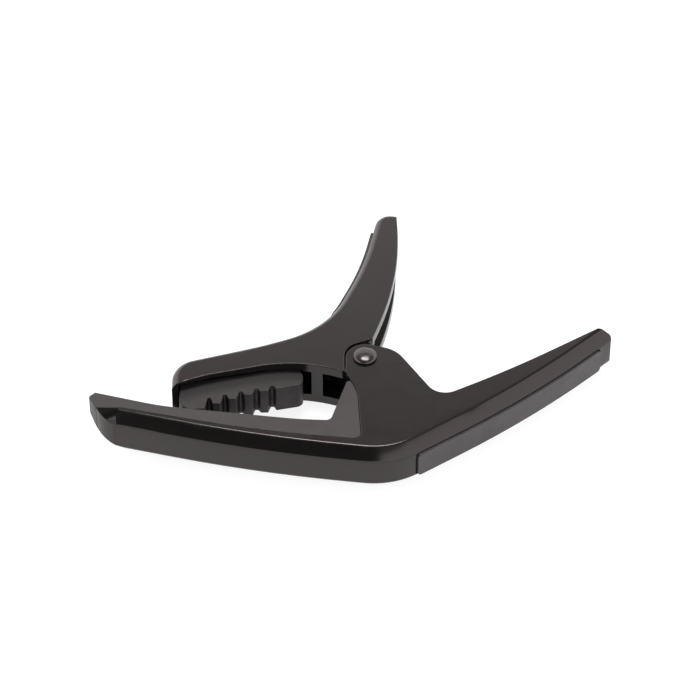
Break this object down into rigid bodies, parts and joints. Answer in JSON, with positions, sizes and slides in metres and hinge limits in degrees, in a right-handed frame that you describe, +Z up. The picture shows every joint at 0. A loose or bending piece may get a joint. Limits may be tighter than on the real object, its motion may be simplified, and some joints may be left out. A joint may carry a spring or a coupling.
{
  "type": "guitar capo",
  "caption": "Spring-loaded trigger capo: a fixed arm with a string pad and handle, and a pivoting jaw and thumb lever with a grooved neck pad, closed by a torsion spring.",
  "frame": {"origin": "on the pivot axis, in the plane of the underside of the capo lying on its side", "axes": "+X towards the fixed handle and -X towards the fixed arm's tip, +Y towards the thumb lever, +Z up along the pivot axis, out of the rivet's head"},
  "size_m": [0.116, 0.0784, 0.0129],
  "materials": {
    "frame_paint": "satin black",
    "lever_paint": "satin black",
    "string_pad_rubber": "matte black",
    "neck_pad_rubber": "matte black",
    "handle_insert": "satin black",
    "lever_insert": "satin black",
    "rivet_metal": "gloss black",
    "burr_metal": "gloss black",
    "washer_brass": "plain",
    "sleeve_plastic": "matte",
    "spring_steel": "drawn wire"
  },
  "bodies": {
    "frame_body": {"body_frame": "frame_paint", "string_pad": "string_pad_rubber", "handle_grip_insert": "handle_insert", "pivot_rivet": "rivet_metal", "rivet_burr": "burr_metal", "lower_washer": "washer_brass", "upper_washer": "washer_brass", "spring_sleeve": "sleeve_plastic", "torsion_spring": "spring_steel"},
    "lever_body": {"lever": "lever_paint", "neck_pad": "neck_pad_rubber", "lever_grip_insert": "lever_insert"}
  },
  "joints": [
    {"name": "lever_pivot", "type": "hinge", "parent": "frame_body", "child": "lever_body", "pos_m": [0, 0, 0.0058], "axis": [0, 0, -1], "range_deg": [0, 40], "stiffness_Nm_per_rad": 1, "springref_deg": -74.48, "deforming": ["torsion_spring"]}
  ]
}
